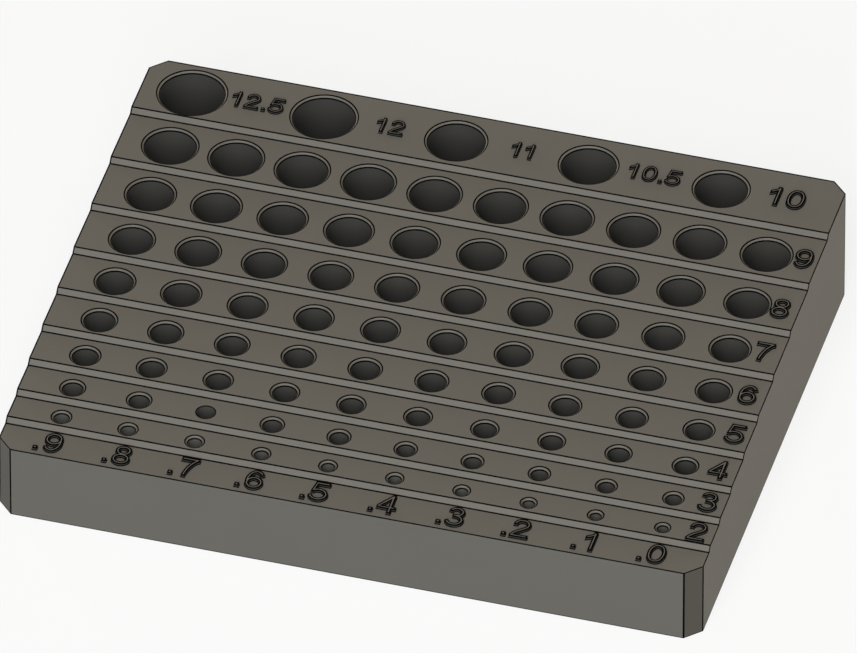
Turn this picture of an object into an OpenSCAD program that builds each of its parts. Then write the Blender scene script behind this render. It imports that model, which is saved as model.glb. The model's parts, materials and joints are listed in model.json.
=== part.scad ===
// Stepped drill bit holder, one printed block: a stair of eight tiers rises from a
// front ledge, which carries the tenths of a millimetre, to a top deck for large bits.
// Each tier holds one whole millimetre of bit sizes and each column adds one tenth.
// The block is drawn step by step, and each step in upright sections with one bore each.
// Its origin is the middle of its underside, with the front ledge towards -Y.

/* [Block] */
// Height of the front ledge
ledge_h = 16; // [12:0.5:30]
// Front to back depth of the front ledge
ledge_d = 7; // [5:0.5:15]
// Rise from one tread to the next
step_rise = 1; // [0.5:0.25:3]
// Front to back run of the slope at each step
step_run = 1; // [0.25:0.25:1]
// Tread depth beyond the tier's whole bit size
tread_land = 5; // [4:0.5:12]
// Front to back depth of the top deck
deck_d = 16; // [16:0.5:30]
// Distance from the outer columns to the sides
side_margin = 10; // [8:0.5:20]
// Flat across each upright corner, measured along either side
corner_cut = 3; // [0.5:0.5:5]

/* [Bores in the tiers] */
// Diameter of the smallest bore, in the first column of the lowest tier
smallest_bore_d = 2; // [1.5:0.5:3]
// Growth in diameter from one tier to the next
tier_step_d = 1; // [0.5:0.25:1]
// Growth in diameter from one column to the next
column_step_d = 0.1; // [0.05:0.05:0.15]
// Distance between neighbouring columns
column_pitch = 13; // [12:0.5:20]
// Slope at each bore's mouth, measured along the tread
lead_in = 0.5; // [0.1:0.1:0.7]
// Solid floor under every bore
floor_t = 3; // [1:0.5:8]

/* [Bores in the top deck] */
// Bore over the second column
deck_bore_1_d = 10; // [6:0.1:12.9]
// Bore over the fourth column
deck_bore_2_d = 10.5; // [6:0.1:12.9]
// Bore over the sixth column
deck_bore_3_d = 11; // [6:0.1:12.9]
// Bore over the eighth column
deck_bore_4_d = 12; // [6:0.1:12.9]
// Bore over the tenth column
deck_bore_5_d = 12.5; // [6:0.1:12.9]

/* [Hidden] */
$fn = 64;

TIERS = 8;
COLUMNS = 10;
DECK_BORES = [deck_bore_1_d, deck_bore_2_d, deck_bore_3_d, deck_bore_4_d, deck_bore_5_d];
// Tier and column, counted from zero, of the one bore that has no slope at its mouth
PLAIN_TIER = 1;
PLAIN_COLUMN = 7;
// How far every cut runs past the surface that it opens
cut_over = step_rise;
// Hairline between neighbouring sections of one step
section_gap = 0.02;

// Tiers are counted from zero, and columns from zero at the block's right side
function bore_d(tier, column) = smallest_bore_d + tier * tier_step_d + column * column_step_d;
function tier_d(tier) = bore_d(tier, 0) + tread_land;
// Depth of all tiers in front of this one
function depth_before(tier) = tier == 0 ? 0 : depth_before(tier - 1) + tier_d(tier - 1);

block_w = 2 * side_margin + (COLUMNS - 1) * column_pitch;
block_d = ledge_d + depth_before(TIERS) + deck_d;

// The deck follows the last tier, so it starts at tier_front(TIERS) and has its height
function tier_front(tier) = ledge_d + depth_before(tier) - block_d / 2;
function tread_h(tier) = ledge_h + (tier + 1) * step_rise;
function column_x(column) = block_w / 2 - side_margin - column * column_pitch;

// Carries a side view, drawn as distance back and height, from one x to another
module across(left, right, side_view) {
    translate([left, 0, 0])
        rotate([90, 0, 90])
            linear_extrude(right - left)
                polygon(side_view);
}

// A bit's bore, from the floor up through the tread, with a 45 degree slope at its mouth
module bore(d, tread, slope) {
    rotate_extrude()
        polygon([
            [0, floor_t],
            [d / 2, floor_t],
            each slope > 0
                ? [[d / 2, tread - slope], [d / 2 + slope + cut_over, tread + cut_over]]
                : [[d / 2, tread + cut_over]],
            [0, tread + cut_over],
        ]);
}

// One step of the stair, whose sloped front starts at the height of the step before it.
// Each section holds one bore and reaches halfway to its neighbours.
module bored_step(front, depth, tread, bore_xs, bore_ds, slopes) {
    last = len(bore_xs) - 1;
    for (i = [0 : last]) {
        right = i == 0 ? block_w / 2 : (bore_xs[i - 1] + bore_xs[i] - section_gap) / 2;
        left = i == last ? -block_w / 2 : (bore_xs[i] + bore_xs[i + 1] + section_gap) / 2;
        difference() {
            across(left, right, [
                [front, 0],
                [front + depth, 0],
                [front + depth, tread],
                [front + step_run, tread],
                [front, tread - step_rise],
            ]);
            translate([bore_xs[i], front + depth / 2, 0])
                bore(bore_ds[i], tread, slopes[i]);
        }
    }
}

// Cuts the flats across the two upright corners at one end of the block
module corner_flats(end_y, tread) {
    for (side = [-1, 1])
        translate([side * block_w / 2, end_y, -cut_over])
            linear_extrude(tread + 2 * cut_over)
                polygon([[corner_cut, 0], [0, corner_cut], [-corner_cut, 0], [0, -corner_cut]]);
}

module tier(tier) {
    columns = [for (c = [0 : COLUMNS - 1]) c];
    bored_step(
        tier_front(tier), tier_d(tier), tread_h(tier),
        [for (c = columns) column_x(c)],
        [for (c = columns) bore_d(tier, c)],
        [for (c = columns) tier == PLAIN_TIER && c == PLAIN_COLUMN ? 0 : lead_in]
    );
}

// Low front strip whose top carries the tenths under the columns
module label_ledge() {
    color("dimgray")
        difference() {
            across(-block_w / 2, block_w / 2, [
                [-block_d / 2, 0],
                [tier_front(0), 0],
                [tier_front(0), ledge_h],
                [-block_d / 2, ledge_h],
            ]);
            corner_flats(-block_d / 2, ledge_h);
        }
}

// Tier for the 2.0 to 2.9 mm bits
module tier_2() {
    color("dimgray") tier(0);
}

// Tier for the 3.0 to 3.9 mm bits
module tier_3() {
    color("dimgray") tier(1);
}

// Tier for the 4.0 to 4.9 mm bits
module tier_4() {
    color("dimgray") tier(2);
}

// Tier for the 5.0 to 5.9 mm bits
module tier_5() {
    color("dimgray") tier(3);
}

// Tier for the 6.0 to 6.9 mm bits
module tier_6() {
    color("dimgray") tier(4);
}

// Tier for the 7.0 to 7.9 mm bits
module tier_7() {
    color("dimgray") tier(5);
}

// Tier for the 8.0 to 8.9 mm bits
module tier_8() {
    color("dimgray") tier(6);
}

// Tier for the 9.0 to 9.9 mm bits
module tier_9() {
    color("dimgray") tier(7);
}

// Highest step at the back, with the five large bores over every second column
module top_deck() {
    bores = [for (i = [0 : len(DECK_BORES) - 1]) i];
    color("dimgray")
        difference() {
            bored_step(
                tier_front(TIERS), deck_d, tread_h(TIERS),
                [for (i = bores) column_x(2 * i + 1)],
                DECK_BORES,
                [for (i = bores) lead_in]
            );
            corner_flats(block_d / 2, tread_h(TIERS));
        }
}

label_ledge();
tier_2();
tier_3();
tier_4();
tier_5();
tier_6();
tier_7();
tier_8();
tier_9();
top_deck();
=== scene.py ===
import json
import math

import bmesh
import bpy
import numpy as np
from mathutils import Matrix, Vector
from mathutils.geometry import delaunay_2d_cdt


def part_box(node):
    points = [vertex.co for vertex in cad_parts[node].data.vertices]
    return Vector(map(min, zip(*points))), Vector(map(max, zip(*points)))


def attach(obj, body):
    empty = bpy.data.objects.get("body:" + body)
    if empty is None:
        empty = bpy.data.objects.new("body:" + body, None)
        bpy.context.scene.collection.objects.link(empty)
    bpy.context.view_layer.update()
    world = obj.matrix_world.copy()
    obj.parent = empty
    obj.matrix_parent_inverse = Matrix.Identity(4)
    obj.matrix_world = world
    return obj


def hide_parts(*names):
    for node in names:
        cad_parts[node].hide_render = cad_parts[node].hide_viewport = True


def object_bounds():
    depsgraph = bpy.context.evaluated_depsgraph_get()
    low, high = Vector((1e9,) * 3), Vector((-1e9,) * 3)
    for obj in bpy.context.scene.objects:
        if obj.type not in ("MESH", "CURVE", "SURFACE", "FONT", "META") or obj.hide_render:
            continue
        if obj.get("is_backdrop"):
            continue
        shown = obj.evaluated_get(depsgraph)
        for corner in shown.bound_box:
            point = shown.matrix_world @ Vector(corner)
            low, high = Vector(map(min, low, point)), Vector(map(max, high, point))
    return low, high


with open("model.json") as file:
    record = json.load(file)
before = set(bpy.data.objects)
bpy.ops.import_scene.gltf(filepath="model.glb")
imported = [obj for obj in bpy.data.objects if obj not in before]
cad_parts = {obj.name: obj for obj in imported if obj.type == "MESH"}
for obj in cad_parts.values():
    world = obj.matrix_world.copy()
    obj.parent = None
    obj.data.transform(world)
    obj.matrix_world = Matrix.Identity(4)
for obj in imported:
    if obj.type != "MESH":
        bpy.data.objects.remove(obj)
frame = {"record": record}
cad_low, cad_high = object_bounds()

# Label ledge
# The low strip along the front, whose top carries the tenths. It is the foremost part of one solid
# print in dark grey plastic, with a plain upright front and a flat across each front corner.
MM = 0.001
LINE = 0.17 * MM
LEFT_LINE = 0.28 * MM
CORNER_FLAT = 3.0 * MM
MERGE = 0.0005 * MM
SHARP_ANGLE = math.radians(25)
PLASTIC, EDGE_LINE, PAINTED_WALL_SHADE, CORNER_SHADE = 0, 1, 2, 3

ledge_low, ledge_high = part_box("label_ledge")
end_x = ledge_high.x
flat_x = end_x - CORNER_FLAT


def finished_piece(name, mesh):
    """Merges doubles, turns all faces outwards, keeps edges over 25 degrees sharp, makes an object."""
    work = bmesh.new()
    work.from_mesh(mesh)
    bmesh.ops.remove_doubles(work, verts=work.verts, dist=MERGE)
    bmesh.ops.delete(work, geom=[v for v in work.verts if not v.link_faces], context="VERTS")
    bmesh.ops.recalc_face_normals(work, faces=work.faces)
    work.to_mesh(mesh)
    work.free()
    mesh.polygons.foreach_set("use_smooth", np.ones(len(mesh.polygons), bool))
    mesh.set_sharp_from_angle(angle=SHARP_ANGLE)
    piece = bpy.data.objects.new(name, mesh)
    bpy.context.scene.collection.objects.link(piece)
    return piece


def piece_of_grids(name, grids):
    """One mesh from grids of points: a quad joins four neighbours and has its grid's slot, -1 for none."""
    points, faces, slots, start = [], [], [], 0
    for grid, slot in grids:
        rows, columns = grid.shape[:2]
        i, j = np.meshgrid(np.arange(rows - 1), np.arange(columns - 1), indexing="ij")
        corner = start + i * columns + j
        quads = np.stack([corner, corner + columns, corner + columns + 1, corner + 1], axis=-1)
        points.append(grid.reshape(-1, 3))
        faces.append(quads[slot >= 0])
        slots.append(slot[slot >= 0])
        start += rows * columns
    mesh = bpy.data.meshes.new(name)
    mesh.from_pydata(np.concatenate(points), [], np.concatenate(faces))
    mesh.polygons.foreach_set("material_index", np.concatenate(slots).astype(np.int32))
    return finished_piece(name, mesh)


def marked(places, gaps):
    """For each gap between neighbouring places, whether it is one of those listed."""
    chosen = np.zeros(len(places) - 1, bool)
    chosen[gaps] = True
    return chosen


def step_grids(xs, ys, tops, ink_y, outer_front=False, outer_back=False):
    """The six sides of a step as (grid, slots): its top is (x, y(x, s), top(s)) over its width and depth.

    The underside is the same at height 0. Each wall runs along one border with rows at height 0, a
    line above it, a line below the top, and the top, so that its dark edges are strips of their own.
    The corner flats of an outer front or back are painted darker, as painted shade.
    """
    ink_ends = marked(xs, [0, -1])
    ink_corners = marked(xs, [0, 2, 3, -4, -3, -1])
    # The corner flats' columns of the front and back walls are painted darker, as painted shade.
    corner_shade_slots = np.where(marked(xs, [1, -2]), CORNER_SHADE, PLASTIC)
    x_grid = np.repeat(xs[:, None], ys.shape[1], axis=1)
    ink_top = ink_ends[:, None] | ink_y[None, :]
    top_side = np.stack([x_grid, ys, np.broadcast_to(tops, ys.shape)], axis=-1)
    underside = np.stack([x_grid, ys, 0 * ys], axis=-1)
    grids = [
        (top_side, np.where(ink_top, EDGE_LINE, PLASTIC)),
        (underside, np.full(ink_top.shape, PLASTIC)),
    ]

    def wall(x, y, top, ink_along, ink_rows, plain):
        x, y, top = np.broadcast_arrays(x, y, top)
        levels = np.stack([0 * top, 0 * top + LINE, top - LINE, top])
        points = np.stack([np.tile(x, (4, 1)), np.tile(y, (4, 1)), levels], axis=-1)
        ink = np.array([ink_rows, False, ink_rows])[:, None] | ink_along[None, :]
        return points, np.where(ink, EDGE_LINE, plain)

    ink_side = marked(tops, [0] * outer_front + [-1] * outer_back)
    grids.append(wall(xs, ys[:, 0], tops[0], ink_corners & outer_front, outer_front, corner_shade_slots))
    grids.append(wall(xs, ys[:, -1], tops[-1], ink_corners & outer_back, outer_back, corner_shade_slots))
    grids.append(wall(xs[0], ys[0], tops, ink_side, True, PLASTIC))
    grids.append(wall(xs[-1], ys[-1], tops, ink_side, True, PLASTIC))
    return grids


def depth_grid(xs, stops, front_cut, back_cut, inner):
    """Where each stop from front to back lies at each x: a corner flat draws it in at 45 degrees."""
    cut = np.maximum(0, abs(xs) - flat_x)[:, None]
    knots = np.array([stops[0], stops[inner], stops[-2], stops[-1]])
    moved = knots + cut * np.array([front_cut, front_cut, -back_cut, -back_cut])
    return np.array([np.interp(stops, knots, row) for row in moved])


def noise(tree, place, scale, detail):
    """A noise pattern on object coordinates; its scale is in features a metre."""
    made = tree.nodes.new("ShaderNodeTexNoise")
    tree.links.new(place, made.inputs["Vector"])
    made.inputs["Scale"].default_value = scale
    made.inputs["Detail"].default_value = detail
    return made.outputs["Fac"]


def mapped(tree, value, from_range, to_range):
    """A value carried from one range to another."""
    made = tree.nodes.new("ShaderNodeMapRange")
    tree.links.new(value, made.inputs["Value"])
    names = ("From Min", "From Max", "To Min", "To Max")
    for name, number in zip(names, (*from_range, *to_range)):
        made.inputs[name].default_value = number
    return made.outputs["Result"]


LAYER = 0.2 * MM
GRAIN, GRAIN_DETAIL, GRAIN_RANGE = 0.25 * MM, 3, (0.3, 0.7)
DRIFT, DRIFT_DETAIL = 12 * MM, 2
TONE_RANGE = (0.6, 1.4)
ROUGHNESS_SWING = 0.05
RELIEF, RELIEF_STRENGTH = 0.006 * MM, 0.3
PLASTIC_IOR = 1.46


def printed_finish(name, colour, spread, roughness, relief, gloss):
    """Satin printed plastic: tone that drifts over the part, fine grain, and printed layers as relief.

    The wave pattern has one band every pi / 10 / scale metres, so the scale follows from the layer.
    """
    material = bpy.data.materials.new(name)
    material.use_nodes = True
    tree = material.node_tree
    shader = tree.nodes["Principled BSDF"]
    place = tree.nodes.new("ShaderNodeTexCoord").outputs["Object"]
    drift = noise(tree, place, 1 / DRIFT, DRIFT_DETAIL)
    grain = noise(tree, place, 1 / GRAIN, GRAIN_DETAIL)
    both = tree.nodes.new("ShaderNodeMath")
    both.operation = "ADD"
    tree.links.new(drift, both.inputs[0])
    tree.links.new(grain, both.inputs[1])
    ramp = tree.nodes.new("ShaderNodeValToRGB")
    tree.links.new(mapped(tree, both.outputs["Value"], TONE_RANGE, (0, 1)), ramp.inputs["Fac"])
    for element, share in zip(ramp.color_ramp.elements, (1 - spread, 1 + spread)):
        element.color = (*(c * share for c in colour), 1)
    tree.links.new(ramp.outputs["Color"], shader.inputs["Base Color"])
    rough = mapped(tree, grain, GRAIN_RANGE, (roughness - ROUGHNESS_SWING, roughness + ROUGHNESS_SWING))
    tree.links.new(rough, shader.inputs["Roughness"])
    layers = tree.nodes.new("ShaderNodeTexWave")
    layers.bands_direction = "Z"
    layers.inputs["Scale"].default_value = math.pi / 10 / LAYER
    tree.links.new(place, layers.inputs["Vector"])
    height = tree.nodes.new("ShaderNodeMath")
    height.operation = "ADD"
    tree.links.new(layers.outputs["Fac"], height.inputs[0])
    tree.links.new(grain, height.inputs[1])
    bump = tree.nodes.new("ShaderNodeBump")
    bump.inputs["Strength"].default_value = RELIEF_STRENGTH
    bump.inputs["Distance"].default_value = relief
    tree.links.new(height.outputs["Value"], bump.inputs["Height"])
    tree.links.new(bump.outputs["Normal"], shader.inputs["Normal"])
    shader.inputs["IOR"].default_value = PLASTIC_IOR
    shader.inputs["Specular IOR Level"].default_value = gloss
    return material


# Spread of tone, roughness, relief and gloss. The walls and floors of the bores and the sides of the
# figures are painted dark, as painted shade, and the corner flats are painted darker, as painted shade.
OUTSIDE = (0.03, 0.58, RELIEF, 0.30)
INSIDE = (0.06, 0.6, RELIEF, 0.25)
finishes_and_painted_shades = [
    printed_finish("printed_plastic", (0.125, 0.113, 0.094), *OUTSIDE),
    printed_finish("edge_line", (0.004, 0.004, 0.004), 0.1, 0.7, RELIEF / 2, 0.0),
    printed_finish("painted_wall_shade", (0.051, 0.050, 0.046), *INSIDE),
    printed_finish("corner_flat_painted_shade", (0.0825, 0.071, 0.0555), *OUTSIDE),
]


def set_on_block(piece, *nodes):
    """Gives a piece the print's finishes and painted shades and sets it on the block, in place of any CAD
    nodes named.
    """
    for finish in finishes_and_painted_shades:
        piece.data.materials.append(finish)
    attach(piece, "root")
    if nodes:
        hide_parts(*nodes)


ends = np.array([0, LINE, CORNER_FLAT - LINE, CORNER_FLAT, CORNER_FLAT + LINE])
left_ends = np.array([0, LEFT_LINE, *ends[2:]])
ledge_xs = np.concatenate([left_ends - end_x, (end_x - ends)[::-1]])
ledge_stops = np.array([ledge_low.y, ledge_low.y + LINE, ledge_high.y - LINE, ledge_high.y])
ledge_ys = depth_grid(ledge_xs, ledge_stops, True, False, 1)
ledge_ink = marked(ledge_stops, [0, -1])
ledge_tops = np.full(len(ledge_stops), ledge_high.z)
ledge = piece_of_grids("ledge", step_grids(ledge_xs, ledge_ys, ledge_tops, ledge_ink, outer_front=True))
set_on_block(ledge, "label_ledge")

# Tiers and top deck
# Eight steps of the same print and the wide step behind them. Each starts with a 45 degree slope and
# holds a row of blind bores with a small slope at the mouth: bits a tenth of a millimetre apart stand
# side by side on a tier, and the next tier's are a whole millimetre larger.
SLOPE_LINE = 0.12 * MM
REAR_LINE = 0.35 * MM
MOUTH_LINE = 0.14 * MM
SPARE = 0.02 * MM
CELL = 16
AROUND = 4 * CELL
WALL_SHARES = (0.25, 0.5, 0.75, 1)
FLOOR_SHARES = (0.6, 0)

bores = [m for m in frame["record"]["mounts"] if m["kind"] == "bore"]
# The walls of the narrowest bores get a paler painted shade: painted light that makes up for the
# little light that reaches into them.
paler_wall_shades = {
    "tier_2": printed_finish("narrowest_bore_paler_shade", (0.0985, 0.097, 0.090), *INSIDE),
    "tier_3": printed_finish("narrow_bore_paler_shade", (0.0617, 0.0605, 0.0557), *INSIDE),
}


def bore_grid(x_stops, y_stops, centre, radius, top, slope, floor):
    """A bore with the tread round it: rings (x + r cos a, y + r sin a, z) whose last follows a rectangle.

    From outside in: the rectangle, a dark line over the mouth's edge, its slope, a second dark line, the
    wall down to the floor, and the floor's middle; wall and floor are painted dark, as painted shade.
    The outer line stops at the tread's front. The angle starts at the rectangle's front right corner,
    and each of its sides has CELL points.
    """
    angle = np.radians(-45) + np.arange(AROUND + 1) * 2 * math.pi / AROUND
    mouth = radius + slope
    rings = [(mouth + MOUTH_LINE, top, PLASTIC), (mouth, top, EDGE_LINE)]
    if slope > SLOPE_LINE:
        rings.append((mouth - SLOPE_LINE, top - SLOPE_LINE, EDGE_LINE))
        rings.append((radius + SLOPE_LINE, top - slope + SLOPE_LINE, PLASTIC))
        rings.append((radius, top - slope, EDGE_LINE))
    wall_top = top - slope - LINE
    rings.append((radius, wall_top, EDGE_LINE))
    # The wall and the floor of the bore are painted dark, as painted shade.
    rings += [(radius, wall_top + (floor - wall_top) * share, PAINTED_WALL_SHADE) for share in WALL_SHARES]
    rings += [(radius * share, floor, PAINTED_WALL_SHADE) for share in FLOOR_SHARES]
    r, z, slots = (np.array(column) for column in zip(*rings))
    x = centre.x + r[:, None] * np.cos(angle)
    y = centre.y + r[:, None] * np.sin(angle)
    y[0] = np.maximum(y[0], y_stops[0] + SPARE)
    circles = np.stack([x, y, np.broadcast_to(z[:, None], x.shape)], axis=-1)
    x0, x1, y0, y1 = x_stops[0], x_stops[-1], y_stops[0], y_stops[-1]
    side = np.ones(CELL)
    border_x = np.concatenate([x1 * side, x_stops[:0:-1], x0 * side, x_stops[:-1], [x1]])
    border_y = np.concatenate([y_stops[:-1], y1 * side, y_stops[:0:-1], y0 * side, [y0]])
    border = np.stack([border_x, border_y, np.full(AROUND + 1, top)], axis=-1)
    return np.concatenate([border[None], circles]), np.repeat(slots[:, None], AROUND, axis=1)


def bored_step(name, cad_node, before, outer_back):
    """A step with its bores, from the box of its CAD node and the height of the step before it."""
    low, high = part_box(cad_node)
    run = high.z - before
    own = sorted((m for m in bores if low.y < m["pos_m"][1] < high.y), key=lambda m: m["pos_m"][0])
    centres = [Vector(m["pos_m"]) for m in own]
    middles = [(a.x + b.x) / 2 for a, b in zip(centres, centres[1:])]
    borders = [-flat_x + LINE, *middles, flat_x - LINE]
    cells = [np.linspace(a, b, CELL + 1) for a, b in zip(borders, borders[1:])]
    inner = [cell[:-1] for cell in cells]
    xs = np.concatenate([left_ends[:-1] - end_x, *inner, [borders[-1]], (end_x - ends[:-1])[::-1]])
    rear_line = REAR_LINE if outer_back else LINE
    tread = np.linspace(low.y + run + LINE, high.y - rear_line, CELL + 1)
    slope_stops = [low.y, low.y + SLOPE_LINE, low.y + run - SLOPE_LINE, low.y + run]
    stops = np.concatenate([slope_stops, tread, [high.y]])
    tops = np.minimum(before + stops - low.y, high.z)
    first = len(slope_stops)
    ys = depth_grid(xs, stops, False, outer_back, first)
    ink = marked(stops, [0, first - 2, first - 1, -1])
    grids = step_grids(xs, ys, tops, ink, outer_back=outer_back)
    left = len(ends) - 1
    grids[0][1][left:left + CELL * len(own), first:first + CELL] = -1
    for bore, centre, cell in zip(own, centres, cells):
        radius = bore["dims"]["r_mm"] * MM
        slope = high.z - centre.z - bore["dims"]["length_mm"] * MM
        grids.append(bore_grid(cell, tread, centre, radius, high.z, slope, centre.z))
    step = piece_of_grids(name, grids)
    set_on_block(step, cad_node)
    # Tiers 2 and 3 take the paler painted shade on their bore walls.
    if cad_node in paler_wall_shades:
        step.data.materials[PAINTED_WALL_SHADE] = paler_wall_shades[cad_node]
    return high.z


height = ledge_high.z
for size in range(2, 10):
    height = bored_step(f"tier_for_{size}_mm", f"tier_{size}", height, outer_back=False)
deck_height = bored_step("deck", "top_deck", height, outer_back=True)

# Raised numerals
# Plain figures that stand half a millimetre proud, printed in one with the block: whole millimetres
# at the right end of each tier, tenths along the ledge, and the five large sizes on the deck.
RAISED = 0.5 * MM
SUNK = 0.02 * MM
FOOT = 0.015 * MM
TALL, SMALL = 5.0 * MM, 4.0 * MM
# Figures are drawn one high: lengths here and in FIGURES are shares of that, and angles are degrees.
STROKE = 0.118
FIGURE_LINE = 0.36 * STROKE
FIGURE_SPREAD = 0.17 * STROKE
FIGURE_STEP, POINT_STEP, ONE_ONE_STEP = 0.785, 0.39, 0.67
ARC_POINTS, BEND_POINTS = 36, 20
OVERLAP = 12
WELD = 1e-5
MITRE_LIMIT = 0.3


def arc(cx, cy, rx, ry, start, stop, power=2.0):
    """Points along an oval: (cx + rx cos a, cy + ry sin a), squarer as the power grows past 2."""
    a = np.radians(np.linspace(start, stop, ARC_POINTS))
    c, s = np.cos(a), np.sin(a)
    x = cx + rx * np.sign(c) * abs(c) ** (2 / power)
    y = cy + ry * np.sign(s) * abs(s) ** (2 / power)
    return np.stack([x, y], axis=1)


def bend(*points):
    """Points along a Bezier curve, worked out by repeated blending of its control points."""
    t = np.linspace(0, 1, BEND_POINTS)[:, None]
    rows = [np.array([p], float) for p in points]
    while len(rows) > 1:
        rows = [(1 - t) * a + t * b for a, b in zip(rows, rows[1:])]
    return rows[0]


def ribbon(path):
    """The outline of a stroke: the path moved half a stroke to each side."""
    along = np.gradient(path, axis=0)
    along /= np.linalg.norm(along, axis=1)[:, None]
    across = np.stack([-along[:, 1], along[:, 0]], axis=1) * STROKE / 2
    return np.concatenate([path - across, (path + across)[::-1]])


def bar(x0, y0, x1, y1):
    """The outline of an upright or level bar."""
    return np.array([(x0, y0), (x1, y0), (x1, y1), (x0, y1)], float)


def oval(cx, cy, rx, ry, power=2.0):
    """A closed oval stroke, as two halves whose ends overlap."""
    starts = (-OVERLAP, 180 - OVERLAP)
    return [ribbon(arc(cx, cy, rx, ry, start, start + 180 + 2 * OVERLAP, power)) for start in starts]


def six():
    """A round bowl and one long stroke from it over the top."""
    return [*oval(0.398, 0.314, 0.268, 0.27), ribbon(arc(0.405, 0.492, 0.29, 0.45, 208, 38))]


FIGURES = {
    "0": oval(0.39, 0.494, 0.274, 0.447, 2.25),
    "1": [
        bar(0.40, 0, 0.52, 1),
        np.concatenate([
            bend((0.455, 1), (0.375, 0.86), (0.152, 0.753)),
            bend((0.152, 0.634), (0.32, 0.70), (0.43, 0.80)),
        ]),
    ],
    "2": [
        ribbon(np.concatenate([
            arc(0.38, 0.715, 0.255, 0.23, 184, -20),
            bend((0.62, 0.636), (0.57, 0.50), (0.18, 0.32), (0.11, 0.06))[1:],
        ])),
        bar(0.045, 0, 0.718, 0.116),
    ],
    "3": [
        ribbon(arc(0.368, 0.745, 0.232, 0.2, 170, -92)),
        ribbon(arc(0.37, 0.287, 0.283, 0.246, 92, -168)),
        bar(0.27, 0.478, 0.38, 0.59),
    ],
    "4": [
        bar(0.458, 0, 0.578, 1),
        bar(0.018, 0.238, 0.722, 0.35),
        np.array([(0.018, 0.35), (0.165, 0.35), (0.47, 0.79), (0.53, 1), (0.472, 1)]),
    ],
    "5": [
        bar(0.14, 0.88, 0.68, 1),
        np.array([(0.068, 0.475), (0.178, 0.465), (0.255, 0.93), (0.235, 1), (0.15, 1)]),
        ribbon(arc(0.36, 0.32, 0.302, 0.278, 142, -166)),
    ],
    "6": six(),
    "7": [bar(0.066, 0.88, 0.73, 1), ribbon(bend((0.655, 0.925), (0.47, 0.72), (0.34, 0.40), (0.322, 0)))],
    "8": oval(0.39, 0.745, 0.232, 0.2) + oval(0.39, 0.273, 0.272, 0.235),
    "9": [np.array([0.79, 0.985]) - outline for outline in six()],
    ".": [bar(0.124, 0, 0.264, 0.14)],
}


def united(outlines):
    """The borders of several overlapping outlines taken together, with their inside to the left."""
    starts = np.cumsum([0] + [len(o) for o in outlines])
    faces = [list(range(a, b)) for a, b in zip(starts, starts[1:])]
    made = delaunay_2d_cdt([Vector(p) for p in np.concatenate(outlines)], [], faces, 0, WELD)
    flat = np.array([v[:] for v in made[0]])
    filled = [f for f, owners in zip(made[2], made[5]) if owners]
    sides = {(f[k - 1], f[k]) for f in filled for k in range(3)}
    following = {a: b for a, b in sides if (b, a) not in sides}
    loops = []
    while following:
        loop = [next(iter(following))]
        while loop[-1] in following:
            loop.append(following.pop(loop[-1]))
        loops.append(flat[loop[:-1]])
    return loops


def moved_in(loop, distance):
    """A border whose every side is moved inwards by a distance, with its corners mitred."""
    side = np.roll(loop, -1, axis=0) - loop
    side /= np.linalg.norm(side, axis=1)[:, None]
    left = np.stack([-side[:, 1], side[:, 0]], axis=1)
    last = np.roll(left, 1, axis=0)
    mitre = 1 + (left * last).sum(axis=1)
    return loop + distance * (left + last) / np.maximum(mitre, MITRE_LIMIT)[:, None]


def covered(points, loops):
    """Whether each point lies inside the loops: an odd count of sides straight to its right."""
    inside = np.zeros(len(points), bool)
    x, y = points[:, :1], points[:, 1:]
    for loop in loops:
        a, b = loop, np.roll(loop, -1, axis=0)
        rise = b[:, 1] - a[:, 1]
        at = a[:, 0] + (y - a[:, 1]) * (b[:, 0] - a[:, 0]) / np.where(rise == 0, 1, rise)
        inside ^= ((x < at) & ((a[:, 1] > y) != (b[:, 1] > y))).sum(axis=1) % 2 == 1
    return inside


def border_of(triangles):
    """The sides that only one of the triangles has, in that triangle's direction."""
    sides = {(t[k - 1], t[k]) for t in triangles.tolist() for k in range(3)}
    return np.array([(a, b) for a, b in sides if (b, a) not in sides])


def outlines_of(text):
    """The outlines of a line of figures, one after the other, each with its inside to the left."""
    outlines, advance = [], 0.0
    for figure, following in zip(text, text[1:] + " "):
        for outline in FIGURES[figure]:
            after = np.roll(outline, -1, axis=0)
            turn = (outline[:, 0] * after[:, 1] - after[:, 0] * outline[:, 1]).sum()
            outlines.append((outline if turn > 0 else outline[::-1]) + np.array([advance, 0]))
        pair = ONE_ONE_STEP if figure + following == "11" else FIGURE_STEP
        advance += POINT_STEP if figure == "." else pair
    return outlines


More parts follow.
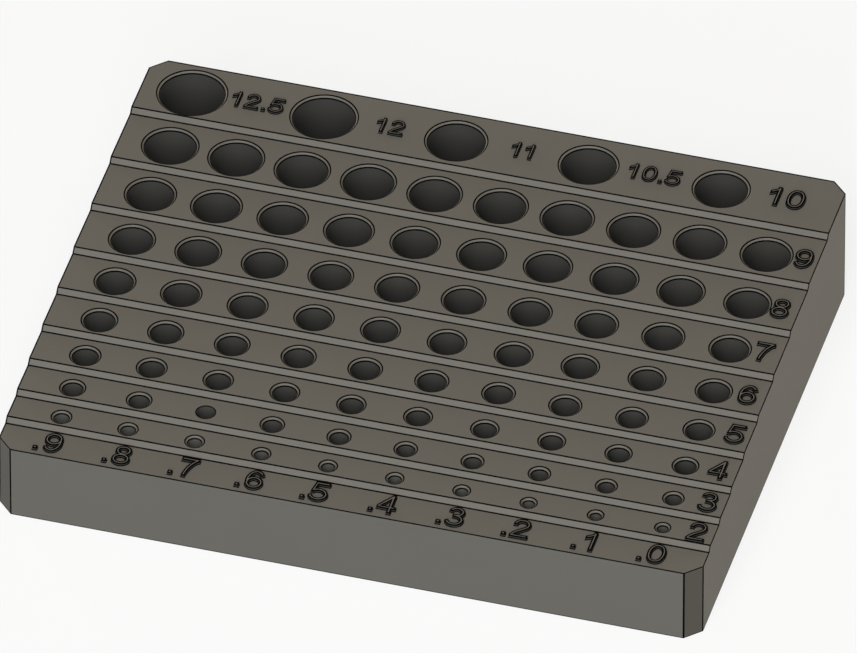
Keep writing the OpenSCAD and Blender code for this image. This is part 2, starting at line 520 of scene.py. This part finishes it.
def numeral(name, text, x, y, tread, tall):
    """Raised figures: strokes united in the plane, then carried up with dark lines at foot and top."""
    borders = united(outlines_of(text))
    core_loops = [moved_in(border, FIGURE_LINE) for border in borders]
    body_loops = [moved_in(border, -FIGURE_SPREAD) for border in borders]
    foot_loops = [moved_in(border, -FIGURE_LINE) for border in borders]
    loops = body_loops + core_loops + foot_loops
    starts = np.cumsum([0] + [len(loop) for loop in loops])
    edges = [(a + k, a + (k + 1) % (b - a)) for a, b in zip(starts, starts[1:]) for k in range(b - a)]
    made = delaunay_2d_cdt([Vector(p) for p in np.concatenate(loops)], edges, [], 0, WELD)
    flat, triangles = np.array([v[:] for v in made[0]]), np.array(made[2])
    middles = flat[triangles].mean(axis=1)
    core, body, foot = (covered(middles, chosen) for chosen in (core_loops, body_loops, foot_loops))
    body |= core
    foot |= body
    step, peak = tread + FOOT, tread + RAISED
    levels = [tread - SUNK, step, step + LINE, peak - LINE, peak]
    count = len(flat)
    flat = flat * tall + np.array([x, y])
    points = np.concatenate([np.column_stack([flat, np.full(count, z)]) for z in levels])
    faces, slots = [], []
    caps = [
        (foot, 0, EDGE_LINE),
        (foot & ~body, 1, EDGE_LINE),
        (body & ~core, 4, EDGE_LINE),
        (core, 4, PLASTIC),
    ]
    for chosen, level, slot in caps:
        faces += (triangles[chosen] + level * count).tolist()
        slots += [slot] * chosen.sum()
    # The figures' sides between their dark lines are painted dark, as painted shade.
    walls = [(foot, 0, EDGE_LINE), (body, 1, EDGE_LINE), (body, 2, PAINTED_WALL_SHADE), (body, 3, EDGE_LINE)]
    for chosen, level, slot in walls:
        sides = border_of(triangles[chosen])
        a, b = sides[:, 0] + level * count, sides[:, 1] + level * count
        faces += np.stack([a, b, b + count, a + count], axis=1).tolist()
        slots += [slot] * len(sides)
    mesh = bpy.data.meshes.new(name)
    mesh.from_pydata(points, [], faces)
    mesh.polygons.foreach_set("material_index", np.array(slots, np.int32))
    set_on_block(finished_piece(name, mesh))


# Where each row's figure starts: millimetres from the right end, and from the middle of its tier.
ROW_PLACES = {
    2: (-5.24, -2.30), 3: (-5.18, -2.11), 4: (-5.43, -2.33), 5: (-4.89, -2.16),
    6: (-5.41, -2.21), 7: (-5.57, -2.10), 8: (-5.45, -2.69), 9: (-4.82, -2.16),
}
for size, (x, y) in ROW_PLACES.items():
    low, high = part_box(f"tier_{size}")
    middle = (low.y + high.y) / 2
    numeral(f"numeral_row_{size}", str(size), end_x + x * MM, middle + y * MM, high.z, TALL)

# Where each tenth starts, in millimetres from the middle of its column, .0 first.
TENTH_SHIFTS = (-3.2, -2.89, -3.41, -3.10, -3.28, -3.55, -3.22, -3.24, -3.08, -3.55)
TENTH_BASELINE = 1.18 * MM
lowest_tier = sorted((m for m in bores if m["name"].startswith("bore_2_")), key=lambda m: m["name"])
for tenth, (bore, shift) in enumerate(zip(lowest_tier, TENTH_SHIFTS)):
    x = bore["pos_m"][0] + shift * MM
    numeral(f"numeral_tenth_{tenth}", f".{tenth}", x, ledge_low.y + TENTH_BASELINE, ledge_high.z, TALL)

# Text, its start in millimetres from the right end and from the front, and its height.
DECK_LABELS = [
    ("10", -14.35, 96.9, TALL), ("10.5", -41.75, 97.27, SMALL), ("11", -64.8, 97.25, SMALL),
    ("12", -91.3, 97.25, SMALL), ("12.5", -119.75, 97.27, SMALL),
]
for text, x, y, tall in DECK_LABELS:
    name = "numeral_deck_" + text.replace(".", "_")
    numeral(name, text, end_x + x * MM, cad_low.y + y * MM, deck_height, tall)

# Floor, light and camera
# A plain pale floor, soft studio light from the front and above with two small low lamps behind for
# the sides, and the photograph's parallel view from high on the right, taken with a very long lens.
FLOOR_HALF = 2.0
FLOOR_SEEN, FLOOR_BOUNCE = 0.92, 0.3
FLOOR_WHITE = 0.8
FLOOR_ROUGHNESS = 0.9
AMBIENT = 0.05
floor_mesh = bpy.data.meshes.new("floor")
corners = [(-1, -1), (1, -1), (1, 1), (-1, 1)]
floor_mesh.from_pydata([(FLOOR_HALF * x, FLOOR_HALF * y, -SUNK) for x, y in corners], [], [(0, 1, 2, 3)])
floor = bpy.data.objects.new("floor", floor_mesh)
bpy.context.scene.collection.objects.link(floor)
floor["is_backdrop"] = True


def seen(tree):
    """1 for rays that come from the camera, a reflection or through glass, and 0 for all others."""
    rays = tree.nodes.new("ShaderNodeLightPath")
    total = rays.outputs["Is Camera Ray"]
    for kind in ("Is Glossy Ray", "Is Transmission Ray"):
        either = tree.nodes.new("ShaderNodeMath")
        either.operation = "MAXIMUM"
        tree.links.new(total, either.inputs[0])
        tree.links.new(rays.outputs[kind], either.inputs[1])
        total = either.outputs["Value"]
    return total


pale = bpy.data.materials.new("pale_floor")
pale.use_nodes = True
tree = pale.node_tree
matt = tree.nodes["Principled BSDF"]
matt.inputs["Roughness"].default_value = FLOOR_ROUGHNESS
tree.links.new(mapped(tree, seen(tree), (0, 1), (FLOOR_BOUNCE, FLOOR_SEEN)), matt.inputs["Base Color"])
white = tree.nodes.new("ShaderNodeEmission")
mix = tree.nodes.new("ShaderNodeMixShader")
tree.links.new(mapped(tree, seen(tree), (0, 1), (0, FLOOR_WHITE)), mix.inputs["Fac"])
tree.links.new(matt.outputs["BSDF"], mix.inputs[1])
tree.links.new(white.outputs["Emission"], mix.inputs[2])
tree.links.new(mix.outputs["Shader"], tree.nodes["Material Output"].inputs["Surface"])
floor_mesh.materials.append(pale)

scene = bpy.context.scene
scene.view_settings.view_transform = "Standard"
world = bpy.data.worlds.new("studio")
world.use_nodes = True
tree = world.node_tree
backdrop = tree.nodes["Background"]
backdrop.inputs["Color"].default_value = (1, 1, 1, 1)
tree.links.new(mapped(tree, seen(tree), (0, 1), (AMBIENT, 1)), backdrop.inputs["Strength"])
scene.world = world


def lamp(name, azimuth, elevation, distance, wide, tall, power, colour):
    """A soft lamp that looks at the block from a direction; azimuth 0 is the front, 90 the right."""
    a, e = math.radians(azimuth), math.radians(elevation)
    away = Vector((math.sin(a) * math.cos(e), -math.cos(a) * math.cos(e), math.sin(e)))
    light = bpy.data.lights.new(name, "AREA")
    light.shape = "RECTANGLE"
    light.size, light.size_y = wide, tall
    light.energy = power
    light.color = colour
    holder = bpy.data.objects.new(name, light)
    holder.location = away * distance
    holder.rotation_euler = (-away).to_track_quat("-Z", "Y").to_euler()
    scene.collection.objects.link(holder)


lamp("front_softbox", 6, 37, 2.4, 1.2, 2.2, 65.5, (1.0, 0.998, 0.99))
lamp("low_front_softbox", 0, 6, 1.2, 0.2, 0.2, 2.15, (0.0, 0.49, 1.0))
lamp("top_softbox", 0, 89, 2.4, 1.8, 1.8, 9.5, (1.0, 0.955, 0.825))
lamp("right_softbox", 130, 5, 1.2, 0.16, 0.16, 3.65, (1.0, 0.90, 0.63))
lamp("left_softbox", 230, 5, 1.2, 0.16, 0.16, 3.65, (1.0, 0.90, 0.63))

LENS = 1250
SENSOR = 36
VIEW_WIDTH = 161.55 * MM
AZIMUTH, ELEVATION = math.radians(15.77), math.radians(40.36)
LOOKS_AT = Vector((-0.79, 5.99, 12.5)) * MM
camera_data = bpy.data.cameras.new("camera")
camera_data.lens = LENS
camera_data.sensor_width = SENSOR
back = Vector((
    math.sin(AZIMUTH) * math.cos(ELEVATION),
    -math.cos(AZIMUTH) * math.cos(ELEVATION),
    math.sin(ELEVATION),
))
distance = VIEW_WIDTH * LENS / SENSOR
camera_data.clip_end = 2 * distance
camera = bpy.data.objects.new("camera", camera_data)
camera.location = LOOKS_AT + back * distance
camera.rotation_euler = (-back).to_track_quat("-Z", "Y").to_euler()
scene.collection.objects.link(camera)
scene.camera = camera

low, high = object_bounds()
